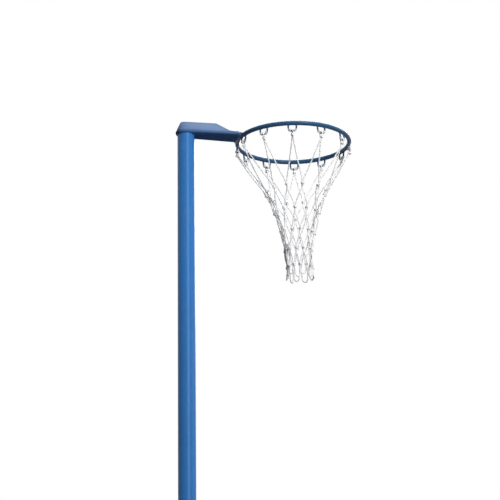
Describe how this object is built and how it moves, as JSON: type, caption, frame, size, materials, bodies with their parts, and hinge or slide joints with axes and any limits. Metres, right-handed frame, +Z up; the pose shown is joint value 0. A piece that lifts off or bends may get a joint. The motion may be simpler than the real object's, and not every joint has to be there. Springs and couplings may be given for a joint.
{
  "type": "netball post",
  "caption": "Round steel netball post that stands in a ground socket, with a welded arm, a goal ring of round bar, and a knotted cord net hung from eyes.",
  "frame": {"origin": "on the post's axis at ground level, in the plane of the ground socket's collar", "axes": "+Z up along the post, +X from the post to the ring"},
  "size_m": [0.6683, 0.412, 3.5368],
  "materials": {
    "post_blue": "glossy powder coat on steel tube",
    "arm_blue": "powder coat on folded steel",
    "ring_blue": "powder coat on round bar",
    "white_cord": "twisted white cord",
    "galvanised": "hot-dip galvanised steel",
    "zinc": "zinc-plated steel",
    "black_plastic": "moulded polyethylene",
    "white_nylon": "sawn nylon"
  },
  "bodies": {
    "root": {"socket_collar": "galvanised", "socket_sleeve": "galvanised", "socket_base_plate": "galvanised", "anchor_lug_1": "galvanised", "anchor_lug_2": "galvanised", "anchor_lug_3": "galvanised", "anchor_lug_4": "galvanised"},
    "turntable": {"wear_pad": "white_nylon"},
    "post": {"post_tube": "post_blue", "foot_plug": "black_plastic", "arm_spigot": "arm_blue", "arm_bottom_plate": "arm_blue", "arm_side_near": "arm_blue", "arm_side_far": "arm_blue", "arm_cover": "arm_blue", "spigot_bolt_1": "zinc", "bolt_washer_1": "zinc", "spigot_nut_1": "zinc", "spigot_bolt_2": "zinc", "bolt_washer_2": "zinc", "spigot_nut_2": "zinc", "ring_bar": "ring_blue", "net_eye_01": "ring_blue", "net_eye_02": "ring_blue", "net_eye_03": "ring_blue", "net_eye_04": "ring_blue", "net_eye_05": "ring_blue", "net_eye_06": "ring_blue", "net_eye_07": "ring_blue", "net_eye_08": "ring_blue", "net_eye_09": "ring_blue", "net_eye_10": "ring_blue", "net_eye_11": "ring_blue", "net_eye_12": "ring_blue", "net": "white_cord"}
  },
  "joints": [
    {"name": "post_swivel", "type": "hinge", "parent": "root", "child": "turntable", "pos_m": [0, 0, 0], "axis": [0, 0, 1], "continuous": true},
    {"name": "post_lift", "type": "slide", "parent": "turntable", "child": "post", "axis": [0, 0, 1], "range_m": [0, 0.46]}
  ]
}
